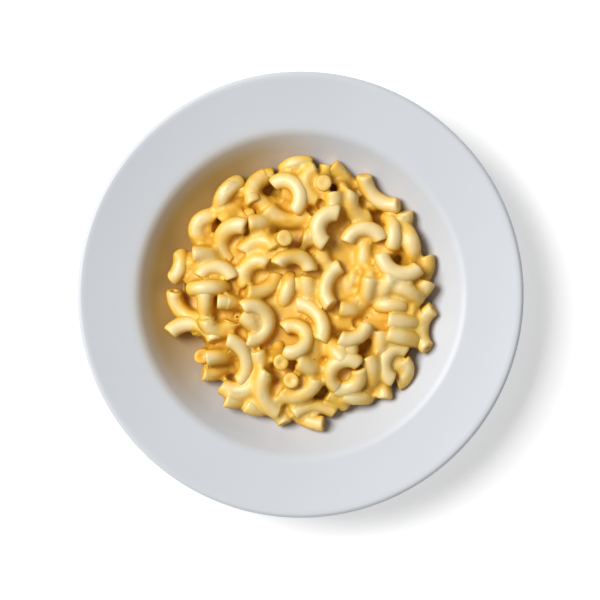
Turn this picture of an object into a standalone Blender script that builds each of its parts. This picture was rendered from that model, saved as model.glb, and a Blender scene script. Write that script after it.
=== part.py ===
"""Macaroni and cheese, heaped in the well of a wide-rimmed porcelain plate.

Two solids: the turned plate, and the heap of pasta and sauce that lies in it.
Metres, +Z up. The origin is on the table, under the middle of the plate.
"""

import math
import random

import bpy

# ---- the plate's driving sizes
PLATE_RADIUS = 0.115
PLATE_HEIGHT = 0.032
LIP_RADIUS = 0.0021
# the upper face by its slope in degrees at these radii: the well's flat floor, its wall,
# the turn onto the rim, and the rim, which steepens a little towards the lip
FACE_SLOPES = ((0.046, 0.0), (0.076, 42.0), (0.082, 42.0), (0.0865, 7.0), (0.1129, 11.0))
FACE_STEPS = (7, 2, 4, 4)       # profile segments between those radii
FOOT_OUTER = 0.0545
FOOT_INNER = 0.0505
FOOT_HEIGHT = 0.0030      # the recess inside the foot ring
SHOULDER = (0.0892, 0.0234)     # underside, where the rim meets the bowl
WALL_PULL = (0.0725, 0.0080)    # the bowl's outside bends round this corner
WALL_FOOT = (0.0560, 0.0036)    # and meets the foot ring here
TURN_STEPS = 64

# ---- the heap's driving sizes
HEAP_RADIUS = 0.0700
HEAP_TOP = 0.0405         # height of the tallest elbow above the table
HEAP_SHOULDER_DROP = 0.0145     # how far the heap's top falls from middle to edge
HEAP_EDGE_LIFT = 0.0055   # height of the outline above the plate under it
EDGE_START = 0.84         # share of the radius past which the heap rounds down
OUTLINE_WAVES = ((5, 0.0016, 0.6), (9, 0.0012, 2.1), (14, 0.0008, 4.0))  # count, depth, phase
PLATE_GAP = 0.0005        # clearance between the heap and the glaze

ELBOW_RADIUS = 0.0045     # outside of the pasta tube
ELBOW_BEND = 0.0088       # radius of the tube's centre line
ELBOW_SWEEP = math.radians(150)
ELBOW_SCATTER = 0.0030    # how far an elbow strays from its even place
ELBOW_COUNT = 66
ELBOW_SINK = 0.0030       # how much lower than its neighbours an elbow may lie
FURROW_DEPTH = 0.0046     # depth of the furrows between elbows

BALL_SUBDIVISIONS = 5     # of the ball that the heap is shaped from
BALL_OUTLINE_Z = -0.5     # where on that ball of radius 1 the heap's outline runs

GOLDEN_ANGLE = math.pi * (3.0 - math.sqrt(5.0))


def clear_scene():
    for item in list(bpy.data.objects):
        bpy.data.objects.remove(item, do_unlink=True)


def new_collection(name):
    collection = bpy.data.collections.new(name)
    bpy.context.scene.collection.children.link(collection)
    return collection


def make_material(name, color, roughness, metallic=0.0):
    material = bpy.data.materials.new(name)
    material.use_nodes = True
    shader = material.node_tree.nodes["Principled BSDF"]
    shader.inputs["Base Color"].default_value = (*color, 1.0)
    shader.inputs["Roughness"].default_value = roughness
    shader.inputs["Metallic"].default_value = metallic
    return material


def add_object(name, mesh, material, collection):
    item = bpy.data.objects.new(name, mesh)
    mesh.materials.append(material)
    collection.objects.link(item)
    return item


# ---- plate

def ellipse_arc(centre, radii, start, end, steps):
    """Points of an ellipse's arc, angles in degrees from +X towards +Z."""
    points = []
    for step in range(steps + 1):
        angle = math.radians(start + (end - start) * step / steps)
        x = centre[0] + radii[0] * math.cos(angle)
        z = centre[1] + radii[1] * math.sin(angle)
        points.append((x, z))
    return points


def bezier(start, pull, end, steps):
    """Points of a quadratic curve from start to end, pulled towards a corner."""
    points = []
    for step in range(steps + 1):
        t = step / steps
        a, b, c = (1 - t) ** 2, 2 * t * (1 - t), t ** 2
        points.append(tuple(a * start[i] + b * pull[i] + c * end[i] for i in (0, 1)))
    return points


def upper_profile():
    """The plate's upper face, from the middle of the well out to the lip's top."""
    points = [(0.0, 0.0), (FACE_SLOPES[0][0], 0.0)]
    for (start, slope), (end, next_slope), steps in zip(FACE_SLOPES, FACE_SLOPES[1:], FACE_STEPS):
        run = (end - start) / steps
        for step in range(steps):
            angle = slope + (next_slope - slope) * (step + 0.5) / steps
            x, z = points[-1]
            points.append((x + run, z + run * math.tan(math.radians(angle))))
    drop = PLATE_HEIGHT - points[-1][1]
    return [(x, z + drop) for x, z in points]


def lower_profile():
    """The plate's underside, from under the lip in to the middle of the recess."""
    under_lip = (PLATE_RADIUS - LIP_RADIUS, PLATE_HEIGHT - 2 * LIP_RADIUS)
    wall = bezier(SHOULDER, WALL_PULL, WALL_FOOT, 6)
    foot = [(FOOT_OUTER, 0.0), (FOOT_INNER, 0.0), (FOOT_INNER - 0.0012, FOOT_HEIGHT)]
    return [under_lip] + wall + foot + [(0.0, FOOT_HEIGHT + 0.0003)]


def plate_profile():
    lip_centre = (PLATE_RADIUS - LIP_RADIUS, PLATE_HEIGHT - LIP_RADIUS)
    lip = ellipse_arc(lip_centre, (LIP_RADIUS, LIP_RADIUS), 90, -90, 6)
    return upper_profile() + lip[1:-1] + lower_profile()


def make_plate(material, collection):
    points = [(x, 0.0, z) for x, z in plate_profile()]
    edges = [(i, i + 1) for i in range(len(points) - 1)]
    mesh = bpy.data.meshes.new("plate")
    mesh.from_pydata(points, edges, [])
    plate = add_object("plate", mesh, material, collection)
    turn = plate.modifiers.new("Turn", "SCREW")
    turn.steps = TURN_STEPS
    turn.render_steps = TURN_STEPS
    turn.use_merge_vertices = True
    turn.merge_threshold = 0.00001
    turn.use_smooth_shade = True
    return plate


def glaze_height(radius):
    """Height of the plate's upper face at a distance from its axis."""
    points = upper_profile()
    for (x0, z0), (x1, z1) in zip(points, points[1:]):
        if radius <= x1:
            return z0 + (z1 - z0) * (radius - x0) / (x1 - x0)
    return PLATE_HEIGHT


# ---- heap

def outline_radius(angle):
    return HEAP_RADIUS + sum(depth * math.sin(count * angle + phase)
                             for count, depth, phase in OUTLINE_WAVES)


def dome_height(radius):
    """Smooth top of the heap, before the elbows are raised on it."""
    share = min(1.0, radius / HEAP_RADIUS)
    return HEAP_TOP - HEAP_SHOULDER_DROP * share ** 2.6


def scatter_elbows():
    """Elbows spread evenly over the dome: arc centre, middle direction and height."""
    draw = random.Random(7)
    elbows = []
    for index in range(ELBOW_COUNT):
        reach = (HEAP_RADIUS - ELBOW_RADIUS) * math.sqrt((index + 0.5) / ELBOW_COUNT)
        spin = index * GOLDEN_ANGLE
        x = reach * math.cos(spin) + draw.uniform(-1.0, 1.0) * ELBOW_SCATTER
        y = reach * math.sin(spin) + draw.uniform(-1.0, 1.0) * ELBOW_SCATTER
        facing = draw.uniform(-math.pi, math.pi)
        sink = draw.uniform(0.0, 1.0) * ELBOW_SINK
        elbows.append((x - ELBOW_BEND * math.cos(facing), y - ELBOW_BEND * math.sin(facing), facing, sink))
    return elbows


def distance_to_arc(x, y, centre_x, centre_y, facing):
    """Distance, seen from above, to an elbow's centre line."""
    dx, dy = x - centre_x, y - centre_y
    turn = (math.atan2(dy, dx) - facing + math.pi) % (2 * math.pi) - math.pi
    if abs(turn) <= ELBOW_SWEEP / 2:
        return abs(math.hypot(dx, dy) - ELBOW_BEND)
    end = facing + math.copysign(ELBOW_SWEEP / 2, turn)
    return math.hypot(dx - ELBOW_BEND * math.cos(end), dy - ELBOW_BEND * math.sin(end))


def heap_height(x, y, elbows):
    """Top of the heap: sauce in the furrows, tubes standing out of it."""
    dome = dome_height(math.hypot(x, y))
    top = dome - FURROW_DEPTH
    for centre_x, centre_y, facing, sink in elbows:
        gap = distance_to_arc(x, y, centre_x, centre_y, facing)
        top = max(top, dome - sink - FURROW_DEPTH * (gap / ELBOW_RADIUS) ** 2)
    return top


def edge_round(share):
    """Quarter-circle fall of the heap's last stretch, 1 in the middle to 0 at the outline."""
    if share <= EDGE_START:
        return 1.0
    return math.sqrt(max(0.0, 1.0 - ((share - EDGE_START) / (1.0 - EDGE_START)) ** 2))


def heap_point(ball_z, angle, elbows):
    """Where a vertex of the ball goes, from its height and its angle about +Z.

    Equal areas of the ball stay equal areas of the heap, so its triangles are even.
    """
    on_top = ball_z >= BALL_OUTLINE_Z
    if on_top:
        share = math.sqrt((1.0 - ball_z) / (1.0 - BALL_OUTLINE_Z))
    else:
        share = math.sqrt((1.0 + ball_z) / (1.0 + BALL_OUTLINE_Z))
    outline = outline_radius(angle)
    radius = share * outline
    x, y = radius * math.cos(angle), radius * math.sin(angle)
    edge = glaze_height(outline) + HEAP_EDGE_LIFT
    if on_top:
        return x, y, edge + (heap_height(x, y, elbows) - edge) * edge_round(share)
    floor = glaze_height(radius) + PLATE_GAP
    return x, y, floor + (edge - floor) * (1.0 - edge_round(share))


def make_heap(material, collection):
    bpy.ops.mesh.primitive_ico_sphere_add(subdivisions=BALL_SUBDIVISIONS, radius=1.0)
    heap = bpy.context.object
    heap.name = "macaroni"
    heap.data.name = "macaroni"
    elbows = scatter_elbows()
    for vertex in heap.data.vertices:
        x, y, z = vertex.co
        ball_z = max(-1.0, min(1.0, z))
        vertex.co = heap_point(ball_z, math.atan2(y, x), elbows)
    heap.data.shade_smooth()
    heap.data.materials.append(material)
    for owner in list(heap.users_collection):
        owner.objects.unlink(heap)
    collection.objects.link(heap)
    return heap


def main():
    clear_scene()
    collection = new_collection("mac_and_cheese")
    porcelain = make_material("porcelain", (0.80, 0.82, 0.85), 0.22)
    cheese_pasta = make_material("cheese_pasta", (0.86, 0.64, 0.26), 0.38)
    make_plate(porcelain, collection)
    make_heap(cheese_pasta, collection)


main()
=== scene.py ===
"""Macaroni in cheese sauce, heaped in the well of a wide-rimmed porcelain plate.

Run as a script: it loads the frame, makes the glazed plate, the bored elbows, the sauce
round them and the pepper, and sets the table, the light and the camera.
"""

import copy
import math
import random

import bmesh
import bpy
import numpy as np
from bpy.props import FloatProperty, FloatVectorProperty, IntProperty, PointerProperty
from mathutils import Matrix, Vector


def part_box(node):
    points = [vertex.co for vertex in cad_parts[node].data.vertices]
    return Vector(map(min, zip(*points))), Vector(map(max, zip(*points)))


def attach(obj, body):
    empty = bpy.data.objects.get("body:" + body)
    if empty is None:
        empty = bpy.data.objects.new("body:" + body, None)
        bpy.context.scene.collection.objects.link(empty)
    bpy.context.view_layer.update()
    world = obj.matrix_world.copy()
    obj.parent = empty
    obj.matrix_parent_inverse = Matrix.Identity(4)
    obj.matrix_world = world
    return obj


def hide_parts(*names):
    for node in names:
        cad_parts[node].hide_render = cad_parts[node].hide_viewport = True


bl_info = {
    "name": "Mac and Cheese Plate",
    "version": (1, 0, 0),
    "blender": (4, 5, 0),
    "location": "View3D > Sidebar > Pasta",
    "description": "Heaps sauced macaroni in the well of a porcelain pasta plate",
    "category": "Object",
}

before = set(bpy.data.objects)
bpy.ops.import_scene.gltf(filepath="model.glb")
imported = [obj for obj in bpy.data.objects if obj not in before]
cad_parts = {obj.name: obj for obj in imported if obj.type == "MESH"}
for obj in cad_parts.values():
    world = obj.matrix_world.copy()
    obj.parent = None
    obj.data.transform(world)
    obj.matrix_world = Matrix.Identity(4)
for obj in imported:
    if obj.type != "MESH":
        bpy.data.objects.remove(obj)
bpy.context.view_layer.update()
BODY = "root"
MM = 0.001

PLATE_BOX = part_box("plate")
HEAP_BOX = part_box("macaroni")
PLATE_RADIUS = PLATE_BOX[1][0]
PLATE_HEIGHT = PLATE_BOX[1][2]

# ---- the plate's section, as shares of its radius and height. The upper face is given by its
# slope in degrees at these radii: flat floor, wall, the turn onto the rim, and the rim
LIP_RADIUS = 0.01826 * PLATE_RADIUS
FACE_SLOPES = ((0.4, 0.0), (0.6609, 42.0), (0.7130, 42.0), (0.7522, 7.0), (0.98174, 11.0))
FACE_STEPS = (26, 6, 12, 14)
SHOULDER = (0.7757 * PLATE_RADIUS, 0.7313 * PLATE_HEIGHT)
WALL_PULL = (0.6304 * PLATE_RADIUS, 0.25 * PLATE_HEIGHT)
WALL_FOOT = (0.487 * PLATE_RADIUS, 0.1125 * PLATE_HEIGHT)
FOOT_OUTER = 0.4739 * PLATE_RADIUS
FOOT_INNER = 0.4391 * PLATE_RADIUS
FOOT_HEIGHT = 0.0938 * PLATE_HEIGHT

# ---- warm shade painted on one side of the well, the side towards the key light, whose wall lies
# in shadow: it stands for that shadow and for the light bounced onto it from the food. The middle of that
# side, how far round it the painted shade thins out, as cosines of the angle from it, and between which
# distances from the axis
PAINTED_SHADE_HEADING = math.radians(157)
PAINTED_SHADE_SPREAD = (0.15, 0.88)
PAINTED_SHADE_FADE = (0.65 * PLATE_RADIUS, 0.785 * PLATE_RADIUS)

# ---- the elbows that show, in millimetres from the middle of the plate, seen from above:
# each is its two ends with the middle of its bend between them. A short one dives into the
# heap at its second end. They are laid in this order, each on what is already there.
EDGE_ELBOWS = (
    (-10, 64, -2, 68, 6, 68), (-31, 59, -39, 53, -42, 44), (16, 67, 21, 62, 27, 55),
    (-62, 24, -62.5, 14, -67, 6),
    (69, -7, 62.5, -17, 66, -28), (61, -4, 56, -8, 50, -10), (53, -34, 55, -40, 50, -46),
    (43.5, -54, 43, -47, 40, -40), (14, -51, 19, -54, 24, -57), (20, -52, 29, -53, 38, -53),
    (12, -67, 6, -66, -2, -62), (-4, -62, 5, -58, 18, -61), (-8, -67, -10, -62, -13, -54),
    (-28, -57, -22, -59, -16, -57), (-39, -54, -34, -55, -28, -53), (-51, -41, -46, -41, -38, -38),
    (54, 43, 54, 38, 50, 32), (65, 20, 65, 13, 58, 7), (66, 7, 63, 2, 56, 0),
)
LOW_ELBOWS = (
    (17, 53, 17, 46, 14, 40), (-44, 40, -54, 34, -50, 27), (-27, 37, -21, 37, -13, 35),
    (1, 30, 6, 29, 12, 33), (36, 9, 35, 3, 34, -4),
    (-49, 1, -49, -6, -47, -12), (-48.5, -12.5, -42, -18.5, -35.5, -13.5),
    (3, 9, 4, 3, 11, 4), (47, 9, 44, 4, 40, -1), (41, -19, 41, -27, 38, -34), (27, -26, 23, -32, 18, -37),
    (12, -22, 18, -29, 24, -36), (-22, -29, -20, -35, -17, -41), (6, -24, 7, -31, 4, -38),
    (35, -32, 37, -39, 36, -47), (-1, -34, 4, -37, 10, -40), (-6, 22, -14, 19, -20, 14),
)
MIDDLE_ELBOWS = (
    (-14, 62, -23, 58, -24, 47), (-17, 45, -8, 38.5, 5, 42), (8, 65, 3, 59, 9, 49),
    (27, 53, 26, 45, 36, 41), (-29, 46, -35, 43, -43, 37), (55, 33, 58, 24, 56, 16),
    (-29, 22, -22, 28, -13, 23), (10, 23, 13, 15, 12, 8), (-56, 21, -50, 21, -42, 20),
    (-16, 16, -27, 15, -28, 4), (-43, -3.5, -37, -4, -30, -6), (-30, -11, -25, -15, -31, -19),
    (47, 6, 55, 2, 63, -4), (20, -7, 26, -8, 34, -9), (10, -4, 16, -13, 27, -15),
    (-41, -47, -32, -50, -20, -41), (-49, -33, -43, -32, -36, -32),
    (-17, -39, -20, -49, -11, -61), (-11, -50.5, -1, -52, 8, -43),
)
TOP_ELBOWS = (
    (-65.5, 2, -62, -8.5, -47, -9.5), (-68, -20, -58, -15, -44, -24),
    (-14, 57, -2, 56, -3, 43), (33, 62, 37, 52, 51, 46.5), (20, 42, 9, 35, 13, 26),
    (-28, 35, -41, 28, -36, 17), (24, 27, 33, 34, 42, 28), (45, 40, 48.5, 33, 47, 24),
    (42, 21, 50, 11, 61, 14), (-60, 3, -48, 3.5, -36, 4), (-52, 9, -45, 14, -35, 8),
    (-28, 1, -19, 2, -12, 11), (-12, 15, -3, 20, 5, 12), (-4.5, 13, -7, 2, -10.5, -8),
    (45, -20, 53, -22, 61, -23.5), (45, -13, 52, -14, 61, -15),
    (21, 15, 13, 5, 16, -6), (37, -5, 46, -5.5, 56, -5.5), (-30, -7, -17, -14, -28, -23),
    (-2, -5, 8, -9, 10, -24), (-9, -18, 3, -24, -8, -29), (20, -22, 29, -22, 34, -15),
    (30, -35.5, 15.5, -40, 20, -48), (18, -48, 28, -46.5, 30, -38), (55, -29, 43, -35, 48, -44),
    (-38, -23, -29, -30, -32, -45),
)
# ---- elbows that stand on end, their cut face up: x, y, the way they bend away, height share
STANDING_ELBOWS = (
    (12, 57.5, 80, 1.0), (-8, 29, 200, 0.95), (-10, -35, 100, 0.85), (-5, -44, 300, 0.85),
    (-51, -32, 30, 0.6),
)

# ---- long lumps of thick sauce: x, y, the way they lie in degrees, half length, half width, how
# far their tops are below the elbows round them
SAUCE_LUMPS = (
    (33, 20, 90, 11, 5.4, -1.2), (36, 8, 95, 8, 4.4, 1.5), (27, 9, 80, 7, 4.0, 2.5), (27, -3, 0, 6, 4.0, 3.0),
    (-48, 34, 60, 6, 4.2, 5.0), (-56, 17, 70, 6, 4.0, 4.5), (-33, 52, 0, 6, 3.8, 4.5),
    (45, 46, -45, 7, 4.0, 5.0), (58, -6, 90, 6, 4.0, 3.5), (-53, -14, 110, 5, 4.0, 6.0),
    (40, -24, 100, 6, 4.0, 3.5), (50.5, -36, 90, 7, 5.0, 3.0),
    (22, 56, -45, 5, 3.5, 4.0), (36, 47, -45, 6, 4.0, 4.0),
)
LUMP_DEPTH = 6.5 * MM       # half height of a lump

# ---- pepper grains: x, y, size in millimetres
PEPPER = ((-32.8, -11.6, 1.3), (34.5, -12.0, 0.9), (7.0, -33.5, 0.8))
PEPPER_COLORS = ((0.02, 0.012, 0.008), (0.10, 0.045, 0.02))

# ---- how macaroni is made
BORE_SHARE = 0.30           # of the tube's outside radius
CUT_ROUNDING = 0.23         # of the outside radius, round the cut edge
PLAIN_PLUG = 0.012          # of its length, how deep the sauce stands in a filled bore
SUNK_PLUG = 0.04            # the same in a bore that is filled less
PLAIN_BEND = 8.8 * MM       # radius of a plain elbow's centre line
PLAIN_LENGTH = 20.0 * MM
DIVE_LENGTH = 16.5 * MM     # an elbow that shows less than this goes down into the heap
DIVE_BEND = 0.12            # how much of that fall comes before its middle
FLAT_BOW = 3.2 * MM         # an elbow whose bend shows less than this stands on its back
WIDEST_BEND = 0.97          # sine of half the widest turn of such an elbow
BEND_ROUNDS = 6             # rounds of working out how far upright it stands
OPEN_ENDS = (               # cut faces whose bore isn't filled with sauce
    (-31, 59), (-13, 62), (-46.5, -8.5), (-43, -3.5), (69, -7), (12, -67), (66, -29), (-24, 23),
)
SUNK_ENDS = (               # cut faces whose bore is filled less
    (-10, -35), (-5, -44), (-51, -32), (-67, 6), (-65.5, 2), (52, 7),
)
END_REACH = 3.0 * MM        # how near an elbow's end is to its spot in these two lists

# ---- how the heap is built up
PRESS = 0.60                # elbows press into each other to this share of their distance
DOME_RADIUS = 70 * MM
DOME_DROP = 17.0 * MM       # how far the heap's top falls from its middle to its outline
DOME_EASE = 0.75            # above this share of the dome's rise, heights are squeezed under it
FILLER_REACH = 49 * MM      # how far from the middle elbows are buried
FILLER_LIFT = 9.0 * MM      # how far buried elbows may lie above the plate
FILLER_BEND = 9.0 * MM      # radius of their bend
FILLER_TURN = 1.25          # half of the angle that they turn through, in radians
FILLER_SHIFT = 0.6          # of the bend, how far its centre is from the elbow's spot
FILLER_TRIES = 8            # ways round that are tried
STAND_MIDDLE = (3.2 * MM, -8.0 * MM)    # from a standing elbow's cut face: sideways and down
STAND_FOOT = (10.0 * MM, -13.0 * MM)
TILT_COST = 0.004           # how much lower an elbow must get before it tilts along its length
LEAN_COST = 0.006           # the same across it
TILTS = [tilt / 10 for tilt in range(-7, 8)]
LEANS = [lean / 10 for lean in range(-3, 4)]

# ---- how the sauce's colour deepens, for thicker sauce and for painted shade: down an elbow's flank, in a crease and low in the heap
SAUCE_AND_SHADE = (0.62, 0.41, 0.18)
SKYLINE_HALF = 80           # millimetres from the heap's middle to the grid's side
SKYLINE_SPREADS = ((4, 2), (7, 6))      # reach and blur in millimetres: near, wide
NEAR_DEPTH = 6.0 * MM
WIDE_DEPTH = 12.0 * MM
LOW_DEPTH = 5.0 * MM        # over the plate

# ---- how the sauce lies
SAUCE_RISE = 17.0 * MM      # depth of the sauce in the middle of the heap
SAUCE_REACH = 3.5 * MM      # how far it stays inside the centre lines of the outermost elbows
SAUCE_FOOT = 0.7 * MM       # how far its underside is sunk into the plate
SAUCE_EDGE = 3.2            # power of the share of the reach: how late it falls off
CORE_SIDES, CORE_RINGS = 72, 24
OUTLINE_WINDOW = 0.10       # radians to either side in which the outermost elbow is looked for
SWELL = 0.7 * MM            # sauce is fused this far out, then drawn back in, which fills creases
DRAW_IN = 0.32 * MM         # how much further in it is drawn than it was fused out
UNEVEN = 0.5 * MM           # how much its thickness varies
UNEVEN_SIZE = 7 * MM        # over what distance
COATS = {                   # sauce over the elbows of each layer
    "buried": 1.1 * MM, "low": 0.95 * MM, "middle": 0.7 * MM, "edge": 0.3 * MM, "top": -0.1 * MM,
}
COATED_REACH = (0.90, 1.04, 0.70)   # of an elbow's length: bare above, coated, with an open end

GOLDEN_ANGLE = math.pi * (3.0 - math.sqrt(5.0))

# ---- the light and the camera
KEY_AZIMUTH, KEY_ELEVATION = math.radians(157), math.radians(51)
KEY_DISTANCE = 4.0
KEY_SIZE = 2.0
CAMERA_SPOT = (-0.26 * MM, -2.8 * MM, PLATE_HEIGHT + 1.2)
FLOOR_SIZE = 6.0
FLOOR_GAP = 0.2 * MM        # how far the table is under the plate's foot


# ======== node trees

class Wire:
    """A node's output. Arithmetic on it adds Math nodes to its tree."""

    def __init__(self, net, socket):
        self.net = net
        self.socket = socket

    def maths(self, operation, *values):
        return self.net.add("ShaderNodeMath", {"operation": operation}, dict(enumerate((self, *values))))

    def __add__(self, other):
        return self.maths("ADD", other)

    __radd__ = __add__

    def __mul__(self, other):
        return self.maths("MULTIPLY", other)

    __rmul__ = __mul__

    def __sub__(self, other):
        return self.maths("SUBTRACT", other)

    def __rsub__(self, other):
        return (self * -1.0) + other

    def __truediv__(self, other):
        return self.maths("DIVIDE", other)

    def __pow__(self, other):
        return self.maths("POWER", other)


class Net:
    """A shader or geometry node tree that is being wired up."""

    def __init__(self, tree):
        self.tree = tree

    def add(self, kind, settings=None, inputs=None, output=0):
        """Adds any node: its settings first, then its sockets' values or links."""
        node = self.tree.nodes.new(kind)
        for name, value in (settings or {}).items():
            setattr(node, name, value)
        for key, value in (inputs or {}).items():
            if isinstance(value, Wire):
                self.tree.links.new(value.socket, node.inputs[key])
            else:
                node.inputs[key].default_value = value
        return Wire(self, node.outputs[output]) if node.outputs else node

    def mix_color(self, share, first, second):
        sockets = {"Factor": share, 6: first, 7: second}
        return self.add("ShaderNodeMix", {"data_type": "RGBA"}, sockets, output=2)

    def noise(self, vector, scale, detail=2.0, roughness=0.5):
        sockets = {"Vector": vector, "Scale": scale, "Detail": detail, "Roughness": roughness}
        return self.add("ShaderNodeTexNoise", {}, sockets)

    def steps(self, value, low, high):
        """0 below low, 1 above high, smooth between them."""
        sockets = {"Value": value, "From Min": low, "From Max": high}
        return self.add("ShaderNodeMapRange", {"interpolation_type": "SMOOTHSTEP"}, sockets)


def new_material(name):
    material = bpy.data.materials.new(name)
    material.use_nodes = True
    material.node_tree.nodes.clear()
    return material, Net(material.node_tree)


def finish_surface(net, fixed, linked):
    """Ends a material in one Principled shader with fixed and varying sockets."""
    shader = net.add("ShaderNodeBsdfPrincipled", {}, {**fixed, **linked})
    net.add("ShaderNodeOutputMaterial", {}, {"Surface": shader})


def rgba(color):
    return (*color, 1.0)


# ======== settings

def color_property(name, description, default):
    return FloatVectorProperty(name=name, description=description, default=default, subtype="COLOR",
                               size=3, min=0.0, max=1.0)


def length_property(name, description, default, low, high):
    return FloatProperty(name=name, description=description, default=default, min=low, max=high,
                         subtype="DISTANCE", unit="LENGTH")


class PlateSettings(bpy.types.PropertyGroup):
    glaze: color_property("Glaze", "Colour of the white glaze", (0.650, 0.670, 0.704))
    foot: color_property("Bare Foot", "Colour of the unglazed foot ring", (0.70, 0.67, 0.61))
    # painted shade: warm brown that stands for the shadow on the well's wall and the food's bounced light
    painted_shade: color_property("Painted Shade", "Colour of the warm shade painted on the well's shaded side",
                         (0.52, 0.35, 0.12))
    roughness: FloatProperty(
        name="Glaze Roughness", description="How soft the glaze's reflections are",
        default=0.42, min=0.0, max=1.0, subtype="FACTOR")
    steps: IntProperty(
        name="Turned Steps", description="Sides of the turned plate", default=224, min=32, max=512)


class PastaSettings(bpy.types.PropertyGroup):
    girth: length_property("Tube Radius", "Outside radius of a cooked elbow", 4.27 * MM, 1 * MM, 10 * MM)
    color: color_property("Pasta", "Colour of the sauced pasta on its crests", (0.95, 0.74, 0.38))
    fillers: IntProperty(
        name="Buried Elbows", description="Elbows laid under the ones that show",
        default=88, min=0, max=200)
    seed: IntProperty(name="Seed", description="Start of the random draws", default=11, min=0)


class SauceSettings(bpy.types.PropertyGroup):
    color: color_property("Sauce", "Colour of the cheese sauce", (0.93, 0.57, 0.072))
    # painted shade: this darker colour also stands for the shade in the gaps between elbows
    deep_sauce_and_shade: color_property("Deep Sauce And Shade", "Colour where the sauce lies thick between elbows, with painted shade",
                         (0.66, 0.345, 0.02))
    voxel: length_property("Fineness", "Size of the sauce's smallest detail", 0.84 * MM, 0.4 * MM, 3 * MM)


class StageSettings(bpy.types.PropertyGroup):
    key_power: FloatProperty(
        name="Key Light", description="Power of the large soft light", default=178.0, min=0.0,
        subtype="POWER", unit="POWER")
    fill: FloatProperty(
        name="Fill", description="Strength of the even light from all sides", default=0.20, min=0.0)
    lens: FloatProperty(
        name="Lens", description="Focal length of the camera", default=140.0, min=10.0,
        subtype="DISTANCE_CAMERA")


# ======== the plate

def circle_arc(centre, radius, start, end, steps):
    """Points of a circle's arc, angles in degrees from +X towards +Z."""
    points = []
    for step in range(steps + 1):
        angle = math.radians(start + (end - start) * step / steps)
        points.append((centre[0] + radius * math.cos(angle), centre[1] + radius * math.sin(angle)))
    return points


def bezier(start, pull, end, steps):
    """Points of a quadratic curve from start to end, pulled towards a corner."""
    points = []
    for step in range(steps + 1):
        t = step / steps
        a, b, c = (1 - t) ** 2, 2 * t * (1 - t), t ** 2
        points.append(tuple(a * start[i] + b * pull[i] + c * end[i] for i in (0, 1)))
    return points


def upper_profile():
    """The plate's upper face, from the middle of the well out to the lip's top."""
    flat = FACE_SLOPES[0][0] * PLATE_RADIUS
    points = [(flat * share, 0.0) for share in (0.0, 0.25, 0.5, 0.75, 1.0)]
    for (start, slope), (end, next_slope), steps in zip(FACE_SLOPES, FACE_SLOPES[1:], FACE_STEPS):
        run = (end - start) * PLATE_RADIUS / steps
        for step in range(steps):
            angle = slope + (next_slope - slope) * (step + 0.5) / steps
            x, z = points[-1]
            points.append((x + run, z + run * math.tan(math.radians(angle))))
    drop = PLATE_HEIGHT - points[-1][1]
    return [(x, z + drop) for x, z in points]


FACE = np.array(upper_profile())


def lower_profile():
    """The plate's underside, from under the lip in to the middle of the recess."""
    under_lip = (PLATE_RADIUS - LIP_RADIUS, PLATE_HEIGHT - 2 * LIP_RADIUS)
    under_rim = [(under_lip[0] + (SHOULDER[0] - under_lip[0]) * i / 8,
                  under_lip[1] + (SHOULDER[1] - under_lip[1]) * i / 8) for i in range(8)]
    wall = bezier(SHOULDER, WALL_PULL, WALL_FOOT, 18)
    foot = [(FOOT_OUTER + 0.2 * MM, 0.4 * MM), (FOOT_OUTER - 0.2 * MM, 0.0), (FOOT_INNER + 0.3 * MM, 0.0),
            (FOOT_INNER - 0.1 * MM, 0.3 * MM), (FOOT_INNER - 1.2 * MM, FOOT_HEIGHT)]
    recess = [(FOOT_INNER * share, FOOT_HEIGHT + 0.3 * MM) for share in (0.8, 0.4, 0.0)]
    return under_rim + wall + foot + recess


def glaze_height(radius):
    """Height of the plate's upper face at distances from its axis."""
    return np.interp(radius, FACE[:, 0], FACE[:, 1])


def link(item):
    bpy.context.scene.collection.objects.link(item)
    return item


def baked(item):
    """The object's evaluated shape as a plain mesh object, in place of the object."""
    graph = bpy.context.evaluated_depsgraph_get()
    mesh = bpy.data.meshes.new_from_object(item.evaluated_get(graph))
    name = item.name
    bpy.data.objects.remove(item)
    mesh.name = name
    return link(bpy.data.objects.new(name, mesh))


def turned(name, profile, steps):
    """A closed shape turned about the Z axis."""
    mesh = bpy.data.meshes.new(name)
    edges = [(i, i + 1) for i in range(len(profile) - 1)]
    mesh.from_pydata([(x, 0.0, z) for x, z in profile], edges, [])
    item = link(bpy.data.objects.new(name, mesh))
    turn = item.modifiers.new("Turn", "SCREW")
    turn.steps = turn.render_steps = steps
    turn.use_merge_vertices = True
    turn.merge_threshold = 0.01 * MM
    turn.use_smooth_shade = True
    return baked(item)


def lofted(name, rings, hollow):
    """A skin over rings of points, closed with a flat face at each end, or into itself if hollow."""
    around, rows = len(rings[0]), len(rings)
    faces = []
    for row in range(rows if hollow else rows - 1):
        low, high = row * around, (row + 1) % rows * around
        for step in range(around):
            beside = (step + 1) % around
            faces.append((low + step, low + beside, high + beside, high + step))
    if not hollow:
        faces.append(tuple(reversed(range(around))))
        faces.append(tuple(range((rows - 1) * around, rows * around)))
    mesh = bpy.data.meshes.new(name)
    mesh.from_pydata([point for ring in rings for point in ring], [], faces)
    tidy = bmesh.new()
    tidy.from_mesh(mesh)
    bmesh.ops.recalc_face_normals(tidy, faces=tidy.faces)
    tidy.to_mesh(mesh)
    tidy.free()
    mesh.shade_smooth()
    return link(bpy.data.objects.new(name, mesh))


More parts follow.
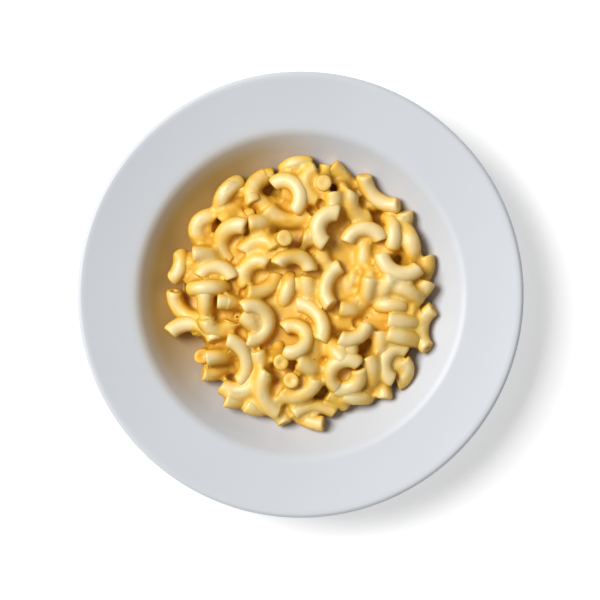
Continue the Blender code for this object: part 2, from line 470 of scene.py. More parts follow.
def porcelain(settings):
    """White glaze, faintly wavy, worn to bare clay on the foot ring, with warm shade painted on the well's
    shaded side.
    """
    material, net = new_material("porcelain_glaze")
    place = net.add("ShaderNodeTexCoord", output=3)
    parts = net.add("ShaderNodeSeparateXYZ", {}, {"Vector": place}).socket.node.outputs
    x, y, height = (Wire(net, socket) for socket in parts)
    foot = 1.0 - net.steps(height, 0.1 * MM, 0.5 * MM)
    radius = (x * x + y * y) ** 0.5
    # painted shade: the glaze turns warm brown on the side towards the key light, where the wall lies in
    # shadow and takes the food's bounced light
    facing = (x * math.cos(PAINTED_SHADE_HEADING) + y * math.sin(PAINTED_SHADE_HEADING)) / radius
    painted_shade = net.steps(facing, *PAINTED_SHADE_SPREAD) * (1.0 - net.steps(radius, *PAINTED_SHADE_FADE))
    cloud = net.noise(place, 22.0, 3.0)
    tint = net.mix_color(net.steps(cloud, 0.35, 0.65), rgba([c * 0.985 for c in settings.glaze]),
                         rgba(settings.glaze))
    with_painted_shade = net.mix_color(painted_shade, tint, rgba(settings.painted_shade))
    color = net.mix_color(foot, with_painted_shade, rgba(settings.foot))
    rough = settings.roughness + net.noise(place, 60.0, 4.0) * 0.06 + foot * 0.5
    waves = net.noise(place, 55.0, 2.0) + net.noise(place, 600.0, 2.0) * 0.08
    bump = net.add("ShaderNodeBump", {}, {"Strength": 0.12, "Distance": 0.5 * MM, "Height": waves})
    finish_surface(net, {"IOR": 1.5, "Coat Roughness": 0.08},
                   {"Base Color": color, "Roughness": rough, "Normal": bump})
    return material


class PASTA_OT_plate(bpy.types.Operator):
    """Turn the glazed plate"""
    bl_idname = "pasta.make_plate"
    bl_label = "Plate"

    def execute(self, context):
        settings = context.scene.pasta_plate
        lip_centre = (PLATE_RADIUS - LIP_RADIUS, PLATE_HEIGHT - LIP_RADIUS)
        lip = circle_arc(lip_centre, LIP_RADIUS, 90, -90, 12)
        plate = turned("pasta_plate", upper_profile() + lip[1:-1] + lower_profile(), settings.steps)
        plate.data.materials.append(porcelain(settings))
        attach(plate, BODY)
        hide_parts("plate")
        return {"FINISHED"}


# ======== laying the elbows

class Elbow:
    """One piece of macaroni: an arc of tube in space."""

    def __init__(self, first, middle, last, girth):
        self.girth = girth
        self.layer = ""
        self.centre, self.bend, self.out, self.ahead, self.sweep = arc_through(first, middle, last)

    def coated(self):
        """The same arc, thicker by the sauce on an elbow of its layer."""
        thick = copy.copy(self)
        thick.girth += COATS[self.layer]
        return thick

    def beads(self, count=13):
        """Points along the centre line."""
        turn = np.linspace(-0.5, 0.5, count)[:, None] * self.sweep
        return self.centre + self.bend * (np.cos(turn) * self.out + np.sin(turn) * self.ahead)


def arc_through(first, middle, last):
    """Circle arc through three points: centre, radius, outward and forward directions, sweep."""
    first, middle, last = (np.asarray(p, float) for p in (first, middle, last))
    a, b = first - middle, last - middle
    normal = np.cross(a, b)
    size = normal @ normal
    if size < 1e-14:
        middle = middle + np.array((0.0, 0.0, 0.4 * MM))
        a, b = first - middle, last - middle
        normal = np.cross(a, b)
        size = normal @ normal
    centre = middle + np.cross(normal, (b @ b) * a - (a @ a) * b) / (2.0 * size)
    bend = np.linalg.norm(middle - centre)
    start = (first - centre) / bend
    side = np.cross(normal / math.sqrt(size), start)
    reach = (last - centre) / bend
    sweep = math.atan2(reach @ side, reach @ start) % (2 * math.pi)
    via = (middle - centre) / bend
    if math.atan2(via @ side, via @ start) % (2 * math.pi) > sweep:
        side = -side
        sweep = 2 * math.pi - sweep
    half = sweep / 2
    out = math.cos(half) * start + math.sin(half) * side
    ahead = -math.sin(half) * start + math.cos(half) * side
    return centre, bend, out, ahead, sweep


class Heap:
    """The elbows laid so far, each also as beads along its centre line."""

    def __init__(self):
        self.elbows = []
        self.bead_points = np.zeros((0, 3))
        self.bead_girths = np.zeros(0)

    def add(self, elbow, layer):
        elbow.layer = layer
        self.elbows.append(elbow)
        beads = elbow.beads()
        self.bead_points = np.vstack((self.bead_points, beads))
        self.bead_girths = np.append(self.bead_girths, np.full(len(beads), elbow.girth))

    def support(self, points, girth):
        """Lowest centre height at which a bead of that girth rests over each plan point."""
        level = seat_height(points[:, 0], points[:, 1], girth)
        if len(self.bead_points):
            gap = np.linalg.norm(points[:, None, :2] - self.bead_points[None, :, :2], axis=2)
            touch = (girth + self.bead_girths[None, :]) * PRESS
            rise = np.sqrt(np.maximum(touch ** 2 - gap ** 2, 0.0))
            over = np.where(gap < touch, self.bead_points[None, :, 2] + rise, -1.0)
            level = np.maximum(level, over.max(axis=1))
        return level


def dome_rise(radius):
    """How far above the plate the tallest elbows reach, at a distance from the heap's middle."""
    share = min(radius / DOME_RADIUS, 1.1)
    return HEAP_BOX[1][2] - DOME_DROP * share ** 3.0 - float(glaze_height(radius))


def seat_height(x, y, girth):
    """Height at which a bead of that girth rests on the plate."""
    radius = np.hypot(x, y)
    slope = (glaze_height(radius + MM) - glaze_height(radius - MM)) / (2 * MM)
    return glaze_height(radius) + girth * np.sqrt(1 + slope ** 2)


def settle(heap, first, middle, last, girth, dives):
    """Lowers a rigid bend onto the heap at the tilt that brings its middle lowest.

    Its highest point is then eased under the dome.
    """
    beads = Elbow(first, middle, last, girth).beads(11)
    held = beads[:6] if dives else beads
    level = heap.support(held, girth)
    hub = held[:, :2].mean(axis=0)
    chord = (last - first)[:2]
    along = chord / max(np.linalg.norm(chord), 1e-6)
    across = np.array((-along[1], along[0]))
    run = (held[:, :2] - hub) @ along
    side = (held[:, :2] - hub) @ across
    best = None
    for tilt in ((0.0,) if dives else TILTS):
        for lean in LEANS:
            shape = held[:, 2] + tilt * run + lean * side
            lift = (level - shape).max()
            cost = lift + shape.mean() + TILT_COST * tilt ** 2 + LEAN_COST * lean ** 2
            if best is None or cost < best[0]:
                best = (cost, tilt, lean, lift)
    _, tilt, lean, lift = best
    radius = np.linalg.norm(hub)
    crest = (held[:, 2] + tilt * run + lean * side).max() + lift + girth - float(glaze_height(radius))
    lift += eased(crest, dome_rise(radius)) - crest
    placed = []
    for point in (first, middle, last):
        offset = point[:2] - hub
        height = point[2] + lift + tilt * (offset @ along) + lean * (offset @ across)
        placed.append((point[0], point[1], max(height, float(seat_height(point[0], point[1], girth)))))
    return Elbow(*placed, girth)


def eased(height, limit):
    """The height, squeezed smoothly so that it stays under the limit."""
    start = DOME_EASE * limit
    if height < start:
        return height
    return start + (limit - start) * math.tanh((height - start) / (limit - start))


def tilted_bend(chord, bow, girth):
    """Chord and rise of a plain elbow that shows this chord and bow from above.

    The more its bend stands upright, the further its flanks reach past its ends.
    """
    upright = 1.0
    for _ in range(BEND_ROUNDS):
        half = math.asin(min(WIDEST_BEND, chord / (2 * (PLAIN_BEND + girth * upright))))
        sagitta = PLAIN_BEND * (1.0 - math.cos(half))
        upright = math.sqrt(max(0.0, 1.0 - (bow / sagitta) ** 2))
    return 2 * PLAIN_BEND * math.sin(half), sagitta * upright


def lay(heap, row, girth, layer):
    """Lays one elbow given its plan, arching or diving where the plan is too short for it."""
    first, middle, last = (np.array((row[i] * MM, row[i + 1] * MM, 0.0)) for i in (0, 2, 4))
    chord = np.linalg.norm(last - first)
    hub = (first + last) / 2
    bow = np.linalg.norm(middle - hub)
    length = np.linalg.norm(middle - first) + np.linalg.norm(last - middle)
    dives = length < DIVE_LENGTH
    if dives:
        depth = math.sqrt(max(0.0, PLAIN_LENGTH ** 2 - length ** 2))
        middle[2] = -DIVE_BEND * depth
        last[2] = -depth
    elif bow < FLAT_BOW:
        span, rise = tilted_bend(chord, bow, girth)
        if rise > 0.0:
            first, last = (hub + (end - hub) * span / chord for end in (first, last))
            middle[2] = rise
    heap.add(settle(heap, first, middle, last, girth, dives), layer)


def lay_fillers(heap, settings, draw):
    """Elbows on the plate under the ones that show, each turned the way that it fits best."""
    for index in range(settings.fillers):
        reach = FILLER_REACH * math.sqrt((index + 0.5) / settings.fillers)
        spin = index * GOLDEN_ANGLE
        x, y = reach * math.cos(spin), reach * math.sin(spin)
        girth = settings.girth * draw.uniform(0.93, 1.03)
        best = None
        for _ in range(FILLER_TRIES):
            facing = draw.uniform(-math.pi, math.pi)
            points = []
            for turn in (-FILLER_TURN, 0.0, FILLER_TURN):
                px = x + FILLER_BEND * (math.cos(facing + turn) - FILLER_SHIFT * math.cos(facing))
                py = y + FILLER_BEND * (math.sin(facing + turn) - FILLER_SHIFT * math.sin(facing))
                points.append((px, py, float(glaze_height(math.hypot(px, py))) + girth))
            elbow = Elbow(*points, girth)
            rest = heap.support(elbow.beads(7), girth).mean()
            if best is None or rest < best[0]:
                best = (rest, elbow)
        elbow = best[1]
        lift = min(best[0] - elbow.beads(7)[:, 2].mean(), FILLER_LIFT)
        elbow.centre = elbow.centre + np.array((0.0, 0.0, lift))
        heap.add(elbow, "buried")


def stand(heap, x, y, heading, share, girth):
    """An elbow that stands on end and bends away under the heap."""
    radius = math.hypot(x, y) * MM
    top = float(glaze_height(radius)) + share * dome_rise(radius)
    way = np.array((math.cos(math.radians(heading)), math.sin(math.radians(heading)), 0.0))
    first = np.array((x * MM, y * MM, top))
    middle, last = (first + way * aside + np.array((0.0, 0.0, down))
                    for aside, down in (STAND_MIDDLE, STAND_FOOT))
    for point in (middle, last):
        point[2] = max(point[2], float(seat_height(point[0], point[1], girth)))
    heap.add(Elbow(first, middle, last, girth), "top")


def build_heap(settings):
    draw = random.Random(settings.seed)
    heap = Heap()
    for layer, rows in (("edge", EDGE_ELBOWS), ("low", LOW_ELBOWS), ("middle", MIDDLE_ELBOWS)):
        for row in rows:
            lay(heap, row, settings.girth * draw.uniform(0.95, 1.04), layer)
        if layer == "edge":
            lay_fillers(heap, settings, draw)
    for x, y, heading, share in STANDING_ELBOWS:
        stand(heap, x, y, heading, share, settings.girth * 0.97)
    for row in TOP_ELBOWS:
        lay(heap, row, settings.girth * draw.uniform(0.97, 1.05), "top")
    return heap


# ======== elbows as meshes

def blank_tube(name, along, around, bore, plug=None):
    """A straight tube of length 1 along X and radius 1, cut flat at both ends.

    Its bore runs right through, or is filled with sauce to that depth below each cut face.
    """
    cut, rounding = 0.5, CUT_ROUNDING
    edge = 0.2 * rounding
    outer = [(-cut, 1.0 - rounding), (-cut + 0.3 * edge, 1.0 - 0.3 * rounding)]
    outer += [(-cut + edge + (1 - 2 * edge) * i / along, 1.0) for i in range(along + 1)]
    outer += [(cut - 0.3 * edge, 1.0 - 0.3 * rounding), (cut, 1.0 - rounding)]
    if plug is None:
        mouth = [(cut, 1.25 * bore), (cut - 0.3 * edge, bore)]
        inner = [(cut * (1 - i / 4), bore) for i in range(1, 8)]
        loop = outer + mouth + inner + [(-run, radius) for run, radius in reversed(mouth)]
    else:
        mouth = [(cut, 1.3 * bore), (cut - plug, 0.5 * bore)]
        loop = [(-run, radius) for run, radius in reversed(mouth)] + outer + mouth
    angles = [2 * math.pi * step / around for step in range(around)]
    rings = [[(run, radius * math.cos(angle), radius * math.sin(angle)) for angle in angles]
             for run, radius in loop]
    return lofted(name, rings, plug is None)


def ends_among(elbow, spots):
    """Whether the elbow has an end at one of these places."""
    ends = elbow.beads(2)[:, :2]
    return any(np.linalg.norm(end - np.array(spot) * MM) < END_REACH for end in ends for spot in spots)


def seed_points(name, elbows, draw, reaches):
    """One vertex for each elbow, with its arc and the share of it that is made in named attributes."""
    mesh = bpy.data.meshes.new(name)
    mesh.from_pydata([tuple(elbow.centre) for elbow in elbows], [], [])
    fields = {
        "out": ("FLOAT_VECTOR", "vector", [elbow.out for elbow in elbows]),
        "ahead": ("FLOAT_VECTOR", "vector", [elbow.ahead for elbow in elbows]),
        "bend": ("FLOAT", "value", [elbow.bend for elbow in elbows]),
        "sweep": ("FLOAT", "value", [elbow.sweep for elbow in elbows]),
        "girth": ("FLOAT", "value", [elbow.girth for elbow in elbows]),
        "flat": ("FLOAT", "value", [draw.uniform(-0.05, 0.05) for _ in elbows]),
        "tone": ("FLOAT", "value", [draw.random() for _ in elbows]),
        "reach": ("FLOAT", "value", reaches),
    }
    for field, (kind, key, values) in fields.items():
        layer = mesh.attributes.new(field, kind, "POINT")
        layer.data.foreach_set(key, np.asarray(values, np.float32).ravel())
    return link(bpy.data.objects.new(name, mesh))


def elbow_tree():
    """Geometry nodes that put a blank tube on every point and bend it along its arc."""
    tree = bpy.data.node_groups.new("Bend Elbows", "GeometryNodeTree")
    face = tree.interface
    face.new_socket("Geometry", in_out="OUTPUT", socket_type="NodeSocketGeometry")
    face.new_socket("Arcs", in_out="INPUT", socket_type="NodeSocketGeometry")
    face.new_socket("Blank", in_out="INPUT", socket_type="NodeSocketObject")
    face.new_socket("Finish", in_out="INPUT", socket_type="NodeSocketMaterial")
    for name, value in (("Girth Offset", 0.0), ("Dimple Depth", 0.0), ("Dimple Size", 1.0)):
        face.new_socket(name, in_out="INPUT", socket_type="NodeSocketFloat").default_value = value
    face.new_socket("Seed", in_out="INPUT", socket_type="NodeSocketInt").default_value = 0

    net = Net(tree)
    entry = tree.nodes.new("NodeGroupInput")
    given = {socket.name: Wire(net, socket) for socket in entry.outputs if socket.name}

    def field(name, kind="FLOAT"):
        return net.add("GeometryNodeInputNamedAttribute", {"data_type": kind}, {"Name": name})

    def vector(operation, *values, output=0):
        return net.add("ShaderNodeVectorMath", {"operation": operation}, dict(enumerate(values)), output)

    def scaled(direction, amount):
        return net.add("ShaderNodeVectorMath", {"operation": "SCALE"}, {"Vector": direction, "Scale": amount})

    blank = net.add("GeometryNodeObjectInfo", {}, {"Object": given["Blank"]}, output=4)
    here = net.add("GeometryNodeInputPosition")
    marked = net.add("GeometryNodeStoreNamedAttribute", {"data_type": "FLOAT_VECTOR", "domain": "POINT"},
                     {"Geometry": blank, "Name": "blank", "Value": here})
    copies = net.add("GeometryNodeInstanceOnPoints", {}, {"Points": given["Arcs"], "Instance": marked})
    centred = net.add("GeometryNodeStoreNamedAttribute", {"data_type": "FLOAT_VECTOR", "domain": "INSTANCE"},
                      {"Geometry": copies, "Name": "centre", "Value": here})
    solid = net.add("GeometryNodeRealizeInstances", {}, {"Geometry": centred})

    parts = net.add("ShaderNodeSeparateXYZ", {}, {"Vector": field("blank", "FLOAT_VECTOR")})
    run, off_out, off_up = (Wire(net, socket) for socket in parts.socket.node.outputs)
    turn = run * field("sweep") * field("reach")
    girth = field("girth") + given["Girth Offset"]
    out, ahead = field("out", "FLOAT_VECTOR"), field("ahead", "FLOAT_VECTOR")
    up = vector("CROSS_PRODUCT", ahead, out)
    reach = field("bend") + girth * off_out * (1.0 + field("flat"))
    lift = girth * off_up * (1.0 - field("flat"))
    bent = vector("ADD", vector("ADD", scaled(out, reach * turn.maths("COSINE")),
                                scaled(ahead, reach * turn.maths("SINE"))), scaled(up, lift))
    place = vector("ADD", bent, field("centre", "FLOAT_VECTOR"))
    arc = net.add("GeometryNodeSetPosition", {}, {"Geometry": solid, "Position": place})

    shifted = vector("ADD", here, net.add("ShaderNodeCombineXYZ", {}, {"X": given["Seed"] * 0.37}))
    dimples = net.noise(shifted, given["Dimple Size"], 1.5) - 0.5
    shove = scaled(net.add("GeometryNodeInputNormal"), dimples * given["Dimple Depth"])
    uneven = net.add("GeometryNodeSetPosition", {}, {"Geometry": arc, "Offset": shove})
    dressed = net.add("GeometryNodeSetMaterial", {}, {"Geometry": uneven, "Material": given["Finish"]})
    ending = tree.nodes.new("NodeGroupOutput")
    tree.links.new(dressed.socket, ending.inputs[0])
    return tree


def set_input(modifier, name, value):
    """Sets a geometry nodes input by its socket's identifier."""
    for item in modifier.node_group.interface.items_tree:
        if item.name == name and item.in_out == "INPUT":
            modifier[item.identifier] = value
            return
    raise KeyError(name)


def bent_elbows(name, elbows, blank, material, draw, reaches, **inputs):
    """A plain mesh of the given elbows, each a bent copy of the blank."""
    points = seed_points(name, elbows, draw, reaches)
    modifier = points.modifiers.new("Bend Elbows", "NODES")
    modifier.node_group = bpy.data.node_groups.get("Bend Elbows") or elbow_tree()
    set_input(modifier, "Blank", blank)
    set_input(modifier, "Finish", material)
    for key, value in inputs.items():
        set_input(modifier, key.replace("_", " ").title(), value)
    return baked(points)


# ======== sauce thickness and painted shade on the coating

class Skyline:
    """Height of the elbows' tops over the heap, on a millimetre grid.

    It is spread out over the gaps and then blurred, once a little and once widely.
    """

    def __init__(self, heap):
        self.half = SKYLINE_HALF
        spots = np.arange(-self.half, self.half + 1) * MM
        self.top = np.zeros((len(spots), len(spots)))
        for elbow in heap.elbows:
            for bead in elbow.beads(21):
                dx = spots[:, None] - bead[0]
                dy = spots[None, :] - bead[1]
                cap = elbow.girth ** 2 - dx ** 2 - dy ** 2
                self.top = np.maximum(self.top, np.where(cap > 0, bead[2] + np.sqrt(np.maximum(cap, 0)), 0))
        self.near, self.wide = (self.blurred(self.spread(reach), blur) for reach, blur in SKYLINE_SPREADS)

    def spread(self, reach):
        field = self.top
        for axis in (0, 1):
            field = np.max([np.roll(field, shift, axis) for shift in range(-reach, reach + 1)], axis=0)
        return field

    @staticmethod
    def blurred(field, reach):
        for axis in (0, 1):
            field = np.mean([np.roll(field, shift, axis) for shift in range(-reach, reach + 1)], axis=0)
        return field

    def height(self, x, y):
        return float(self.near[round(x / MM) + self.half, round(y / MM) + self.half])

    def richness(self, points, normals):
        """How thick the sauce lies, with painted shade: 0 on an elbow's crest, more down its flanks, 1 in the
        gaps.
        """
        place = np.clip(np.round(points[:, :2] / MM).astype(int) + self.half, 0, 2 * self.half)
        near = np.clip((self.near[place[:, 0], place[:, 1]] - points[:, 2]) / NEAR_DEPTH, 0.0, 1.0)
        wide = np.clip((self.wide[place[:, 0], place[:, 1]] - points[:, 2]) / WIDE_DEPTH, 0.0, 1.0)
        above = points[:, 2] - glaze_height(np.hypot(points[:, 0], points[:, 1]))
        near = np.maximum(near, np.clip(1.0 - above / LOW_DEPTH, 0.0, 1.0))
        # painted shade: surfaces that turn away from straight up are coloured as shaded
        flank = 1.0 - np.clip(normals[:, 2], 0.0, 1.0)
        return SAUCE_AND_SHADE[0] * flank + SAUCE_AND_SHADE[1] * near + SAUCE_AND_SHADE[2] * wide


def vertex_vectors(collection, key):
    """One vector for each vertex, as rows of an array."""
    values = np.empty(len(collection) * 3, np.float32)
    collection.foreach_get(key, values)
    return values.reshape(-1, 3)


def store_sauce_and_shade(item, skyline):
    """Keeps each vertex's sauce thickness and painted shade in an attribute that the finish reads."""
    mesh = item.data
    places, normals = vertex_vectors(mesh.vertices, "co"), vertex_vectors(mesh.vertex_normals, "vector")
    sauce_and_shade_share = skyline.richness(places, normals)
    layer = mesh.attributes.new("richness", "FLOAT", "POINT")
    layer.data.foreach_set("value", sauce_and_shade_share.astype(np.float32))


# ======== pasta and sauce finishes

def cheese_finish(name, pale, color, deep_sauce_and_shade, grain, toned):
    """Glossy cheese-coated surface: pale on the crests, golden lower down, darker in the gaps; the golden and
    the dark are thicker sauce with painted shade.
    """
    material, net = new_material(name)
    place = net.add("ShaderNodeTexCoord", output=3)
    sauce_and_shade_share = net.add("ShaderNodeAttribute", {"attribute_name": "richness"}, output=2)
    patches = net.steps(net.noise(place, 130.0, 3.0, 0.55), 0.38, 0.66)
    sauce_and_shade_share = sauce_and_shade_share + (0.5 - patches) * 0.14
    if not toned:
        sauce_and_shade_share = sauce_and_shade_share + 0.08
    else:
        sauce_and_shade_share = sauce_and_shade_share + net.add("ShaderNodeAttribute", {"attribute_name": "tone"}, output=2) * 0.14 - 0.07
    # painted shade: golden down the flanks and darker in creases, gaps and low in the heap, together with the
    # thicker sauce there
    surface = net.mix_color(net.steps(sauce_and_shade_share, 0.0, 0.65), rgba(pale), rgba(color))
    shade = net.mix_color(net.steps(sauce_and_shade_share, 0.50, 0.98), surface, rgba(deep_sauce_and_shade))
    rough = 0.47 + net.noise(place, 420.0, 3.0) * 0.14 - patches * 0.05
    relief = net.noise(place, 260.0, 3.0, 0.5) + net.noise(place, 1100.0, 2.0, 0.5) * grain
    bump = net.add("ShaderNodeBump", {}, {"Strength": 0.35, "Distance": 0.35 * MM, "Height": relief})
    fixed = {
        "IOR": 1.45, "Specular IOR Level": 0.6, "Subsurface Weight": 0.70,
        "Subsurface Radius": (1.0, 0.8, 0.45), "Subsurface Scale": 1.8 * MM,
        "Coat Roughness": 0.36,
    }
    wet = (0.60 - sauce_and_shade_share * 0.55).maths("MAXIMUM", 0.06)
    finish_surface(net, fixed, {"Base Color": shade, "Roughness": rough, "Coat Weight": wet, "Normal": bump})
    return material


def elbow_group(elbow):
    """Name of the piece that the elbow belongs to."""
    if elbow.layer == "buried":
        return "elbows_buried"
    if ends_among(elbow, OPEN_ENDS):
        return "elbows_bored"
    return "elbows_sunk" if ends_among(elbow, SUNK_ENDS) else "elbows_filled"


class PASTA_OT_elbows(bpy.types.Operator):
    """Lay the macaroni in the plate, bottom to top"""
    bl_idname = "pasta.lay_elbows"
    bl_label = "Elbows"

    def execute(self, context):
        settings = context.scene.pasta_elbows
        heap = build_heap(settings)
        skyline = Skyline(heap)
        draw = random.Random(settings.seed + 1)
        sauce = context.scene.pasta_sauce
        finish = cheese_finish("sauced_pasta", settings.color, sauce.color, sauce.deep_sauce_and_shade, 0.25, True)
        blanks = {
            "elbows_buried": blank_tube("coarse_blank", 12, 14, BORE_SHARE, PLAIN_PLUG),
            "elbows_filled": blank_tube("filled_blank", 18, 22, BORE_SHARE, PLAIN_PLUG),
            "elbows_sunk": blank_tube("sunk_blank", 18, 22, BORE_SHARE, SUNK_PLUG),
            "elbows_bored": blank_tube("bored_blank", 18, 22, BORE_SHARE),
        }
        for name, blank in blanks.items():
            elbows = [elbow for elbow in heap.elbows if elbow_group(elbow) == name]
            piece = bent_elbows(name, elbows, blank, finish, draw, [1.0] * len(elbows),
                                dimple_depth=0.5 * MM, dimple_size=190.0)
            store_sauce_and_shade(piece, skyline)
            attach(piece, BODY)
            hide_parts("macaroni")
            bpy.data.objects.remove(blank)
        return {"FINISHED"}


def outline_reach(heap, angle):
    """Distance from the axis of the outermost elbows' centre lines on this side."""
    radii = np.hypot(heap.bead_points[:, 0], heap.bead_points[:, 1])
    turn = np.arctan2(heap.bead_points[:, 1], heap.bead_points[:, 0]) - angle
    beside = np.abs((turn + math.pi) % (2 * math.pi) - math.pi) < OUTLINE_WINDOW
    return float(radii[beside].max())


def sauce_core(heap):
    """The sauce in the heap's middle, out to under the outermost elbows on every side."""
    angles = [2 * math.pi * side / CORE_SIDES for side in range(CORE_SIDES)]
    outline = np.array([outline_reach(heap, angle) for angle in angles])
    reaches = (np.roll(outline, 1) + outline + np.roll(outline, -1)) / 3 - SAUCE_REACH
    shares = [ring / CORE_RINGS for ring in range(1, CORE_RINGS + 1)]
    rises = [(share, (SAUCE_RISE + SAUCE_FOOT) * (1.0 - share ** SAUCE_EDGE)) for share in shares]
    rises += [(share, 0.0) for share in reversed(shares[:-1])]
    rings = []
    for share, rise in rises:
        ring = []
        for angle, radius in zip(angles, share * reaches):
            height = float(glaze_height(radius)) - SAUCE_FOOT + rise
            ring.append((radius * math.cos(angle), radius * math.sin(angle), height))
        rings.append(ring)
    return lofted("core", rings, False)


def sauce_lump(skyline, x, y, heading, long, wide, drop):
    """A smooth hump of sauce whose top is a little below the elbows round it."""
    top = skyline.height(x * MM, y * MM) - drop * MM
    bpy.ops.mesh.primitive_uv_sphere_add(segments=24, ring_count=16, radius=1.0)
    lump = bpy.context.object
    lump.scale = (long * MM + SWELL, wide * MM + SWELL, LUMP_DEPTH + SWELL)
    lump.rotation_euler.z = math.radians(heading)
    lump.location = (x * MM, y * MM, top - LUMP_DEPTH)
    return lump


def sauce_reach(elbow):
    """Share of an elbow's length that the sauce covers: its cut ends stay bare high in the heap."""
    bare, coated, opened = COATED_REACH
    if ends_among(elbow, OPEN_ENDS):
        return opened
    return coated if COATS[elbow.layer] > 0.0 else bare


class PASTA_OT_sauce(bpy.types.Operator):
    """Pour the cheese sauce round and under the elbows"""
    bl_idname = "pasta.pour_sauce"
    bl_label = "Cheese Sauce"

    def execute(self, context):
        pasta = context.scene.pasta_elbows
        settings = context.scene.pasta_sauce
        heap = build_heap(pasta)
        skyline = Skyline(heap)
        finish = cheese_finish("cheese_sauce", pasta.color, settings.color, settings.deep_sauce_and_shade, 0.15, False)
        rod = blank_tube("rod_blank", 12, 16, 0.2, PLAIN_PLUG)
        sauce = bent_elbows("cheese_sauce", [elbow.coated() for elbow in heap.elbows], rod, finish,
                            random.Random(pasta.seed + 1), [sauce_reach(elbow) for elbow in heap.elbows],
                            girth_offset=SWELL)
        bpy.data.objects.remove(rod)
        core = sauce_core(heap)
        lumps = [sauce_lump(skyline, *row) for row in SAUCE_LUMPS]
        bpy.context.view_layer.objects.active = sauce
        for item in (sauce, core, *lumps):
            item.select_set(True)
        bpy.ops.object.join()
        fuse = sauce.modifiers.new("Fuse", "REMESH")
        fuse.mode = "VOXEL"
        fuse.voxel_size = settings.voxel
        fuse.use_smooth_shade = True
        melt = sauce.modifiers.new("Melt", "SMOOTH")
        melt.factor = 0.5
        melt.iterations = 6
        clouds = bpy.data.textures.new("sauce_clouds", "CLOUDS")
        clouds.noise_scale = UNEVEN_SIZE
        uneven = sauce.modifiers.new("Uneven", "DISPLACE")
        uneven.texture = clouds
        uneven.texture_coords = "LOCAL"
        uneven.strength = UNEVEN
        uneven.mid_level = 0.5 + (SWELL + DRAW_IN) / UNEVEN
        sauce = baked(sauce)
        sauce.data.materials.clear()
        sauce.data.materials.append(finish)
        store_sauce_and_shade(sauce, skyline)
        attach(sauce, BODY)
        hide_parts("macaroni")
        return {"FINISHED"}


class PASTA_OT_pepper(bpy.types.Operator):
    """Drop the few grains of pepper on the sauce"""
    bl_idname = "pasta.grind_pepper"
    bl_label = "Pepper"

    def execute(self, context):
        draw = random.Random(3)
        graph = context.evaluated_depsgraph_get()
        grains = []
        for x, y, size in PEPPER:
            above = Vector((x * MM, y * MM, 0.2))
            found, spot, *_ = context.scene.ray_cast(graph, above, Vector((0.0, 0.0, -1.0)))
            if not found:
                raise RuntimeError("nothing under the pepper")
            bpy.ops.mesh.primitive_ico_sphere_add(subdivisions=2, radius=size * MM / 2, location=spot)
            grain = context.object
            for vertex in grain.data.vertices:
                vertex.co *= draw.uniform(0.72, 1.1)
            grain.scale = (draw.uniform(0.8, 1.1), draw.uniform(0.8, 1.1), 0.55)
            grain.rotation_euler = (draw.uniform(-0.4, 0.4), draw.uniform(-0.4, 0.4), draw.uniform(0.0, 3.0))
            grains.append(grain)
        bpy.ops.object.select_all(action="DESELECT")
        for grain in grains:
            grain.select_set(True)
        context.view_layer.objects.active = grains[0]
        bpy.ops.object.join()
        bpy.ops.object.transform_apply(location=True, rotation=True, scale=True)
        pepper = context.object
        pepper.name = pepper.data.name = "pepper"
        material, net = new_material("black_pepper")
        place = net.add("ShaderNodeTexCoord", output=3)
        color = net.mix_color(net.noise(place, 1500.0, 2.0), rgba(PEPPER_COLORS[0]), rgba(PEPPER_COLORS[1]))
        finish_surface(net, {"Roughness": 0.8}, {"Base Color": color})
        pepper.data.materials.append(material)
        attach(pepper, BODY)
        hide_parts("macaroni")
        return {"FINISHED"}


# ======== table, light and camera

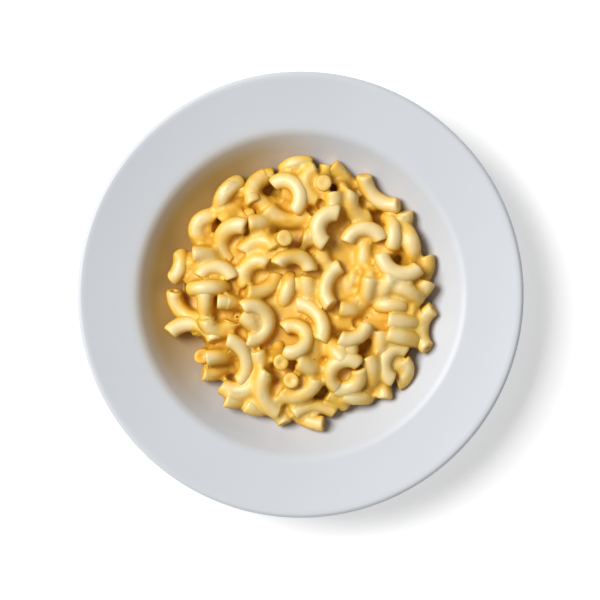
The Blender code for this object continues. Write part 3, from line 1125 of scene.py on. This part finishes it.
class PASTA_OT_stage(bpy.types.Operator):
    """Set the table, the soft light and the camera overhead"""
    bl_idname = "pasta.set_stage"
    bl_label = "Stage"

    def execute(self, context):
        settings = context.scene.pasta_stage
        bpy.ops.mesh.primitive_plane_add(size=FLOOR_SIZE, location=(0.0, 0.0, -FLOOR_GAP))
        floor = context.object
        floor.name = "table"
        material, net = new_material("white_table")
        finish_surface(net, {"Base Color": (0.69, 0.69, 0.69, 1.0), "Roughness": 0.9,
                             "Emission Color": (1.0, 1.0, 1.0, 1.0), "Emission Strength": 0.44}, {})
        floor.data.materials.append(material)

        key_data = bpy.data.lights.new("key", "AREA")
        key_data.shape = "SQUARE"
        key_data.size = KEY_SIZE
        key_data.energy = settings.key_power
        key = link(bpy.data.objects.new("key", key_data))
        level = KEY_DISTANCE * math.cos(KEY_ELEVATION)
        key.location = (level * math.cos(KEY_AZIMUTH), level * math.sin(KEY_AZIMUTH),
                        KEY_DISTANCE * math.sin(KEY_ELEVATION))
        key.rotation_euler = (-key.location).to_track_quat("-Z", "Y").to_euler()

        world = bpy.data.worlds.new("soft_room")
        world.use_nodes = True
        background = world.node_tree.nodes["Background"]
        background.inputs["Color"].default_value = (1.0, 1.0, 1.0, 1.0)
        background.inputs["Strength"].default_value = settings.fill
        context.scene.world = world
        context.scene.view_settings.view_transform = "Standard"

        camera_data = bpy.data.cameras.new("overhead")
        camera_data.lens = settings.lens
        camera_data.sensor_width = 36.0
        camera = link(bpy.data.objects.new("overhead", camera_data))
        camera.location = CAMERA_SPOT
        context.scene.camera = camera
        return {"FINISHED"}


class PASTA_PT_panel(bpy.types.Panel):
    """Lists the pieces of the dish"""
    bl_label = "Mac and Cheese"
    bl_idname = "PASTA_PT_panel"
    bl_space_type = "VIEW_3D"
    bl_region_type = "UI"
    bl_category = "Pasta"

    def draw(self, context):
        scene = context.scene
        for group, operators in PANEL_ROWS:
            box = self.layout.box()
            settings = getattr(scene, group)
            for name in settings.__annotations__:
                box.prop(settings, name)
            for operator in operators:
                box.operator(operator.bl_idname)


PANEL_ROWS = (
    ("pasta_plate", (PASTA_OT_plate,)),
    ("pasta_elbows", (PASTA_OT_elbows,)),
    ("pasta_sauce", (PASTA_OT_sauce, PASTA_OT_pepper)),
    ("pasta_stage", (PASTA_OT_stage,)),
)
SETTINGS = {
    "pasta_plate": PlateSettings,
    "pasta_elbows": PastaSettings,
    "pasta_sauce": SauceSettings,
    "pasta_stage": StageSettings,
}
CLASSES = (*SETTINGS.values(), PASTA_OT_plate, PASTA_OT_elbows, PASTA_OT_sauce, PASTA_OT_pepper,
           PASTA_OT_stage, PASTA_PT_panel)


def register():
    for cls in CLASSES:
        bpy.utils.register_class(cls)
    for name, group in SETTINGS.items():
        setattr(bpy.types.Scene, name, PointerProperty(type=group))


def unregister():
    for name in SETTINGS:
        delattr(bpy.types.Scene, name)
    for cls in reversed(CLASSES):
        bpy.utils.unregister_class(cls)


def main():
    register()
    bpy.ops.pasta.make_plate()
    bpy.ops.pasta.lay_elbows()
    bpy.ops.pasta.pour_sauce()
    bpy.ops.pasta.grind_pepper()
    bpy.ops.pasta.set_stage()


if __name__ == "__main__":
    main()
